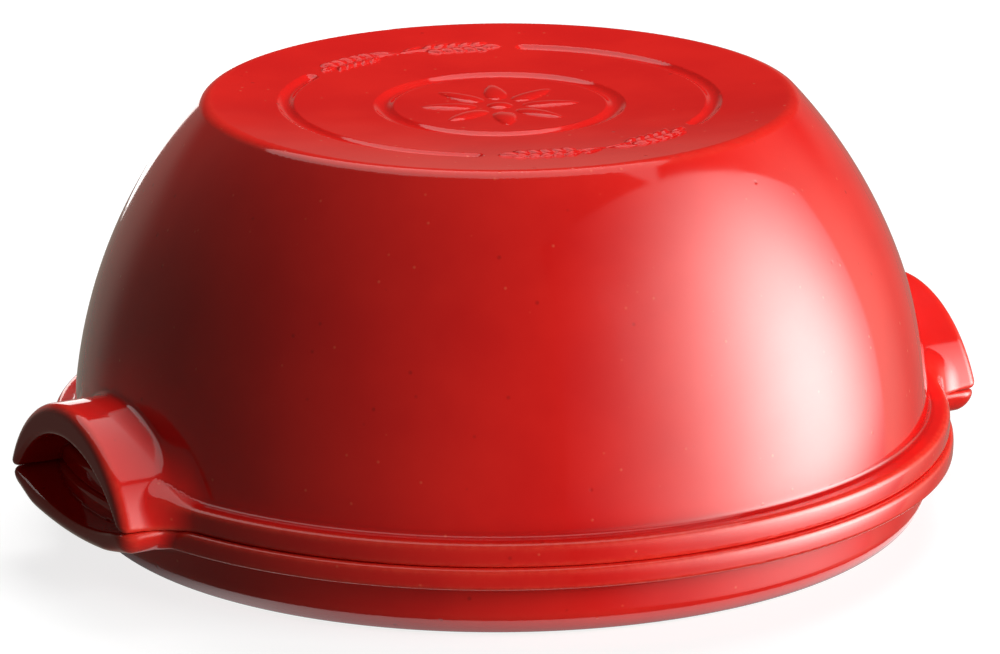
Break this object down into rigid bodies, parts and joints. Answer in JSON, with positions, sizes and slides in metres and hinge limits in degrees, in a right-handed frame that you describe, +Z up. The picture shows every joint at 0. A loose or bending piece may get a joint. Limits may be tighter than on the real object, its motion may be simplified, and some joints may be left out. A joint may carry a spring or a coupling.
{
  "type": "bread cloche",
  "caption": "Round glazed ceramic bread baker: a low dish with a flat-topped domed lid that lifts off, and paired arched grips at each side.",
  "frame": {"origin": "centre of the standing ring, on the surface that the dish stands on", "axes": "+Z up, the way the lid lifts off; +X through the two pairs of grips; +Y across them"},
  "size_m": [0.315, 0.295, 0.138],
  "materials": {
    "dish_glaze": "glossy red glaze",
    "lid_glaze": "glossy red glaze"
  },
  "bodies": {
    "dish": {"dish": "dish_glaze"},
    "lid": {"lid": "lid_glaze"}
  },
  "joints": [
    {"name": "lid_lift", "type": "slide", "parent": "dish", "child": "lid", "axis": [0, 0, 1], "range_m": [0, 0.2]}
  ]
}
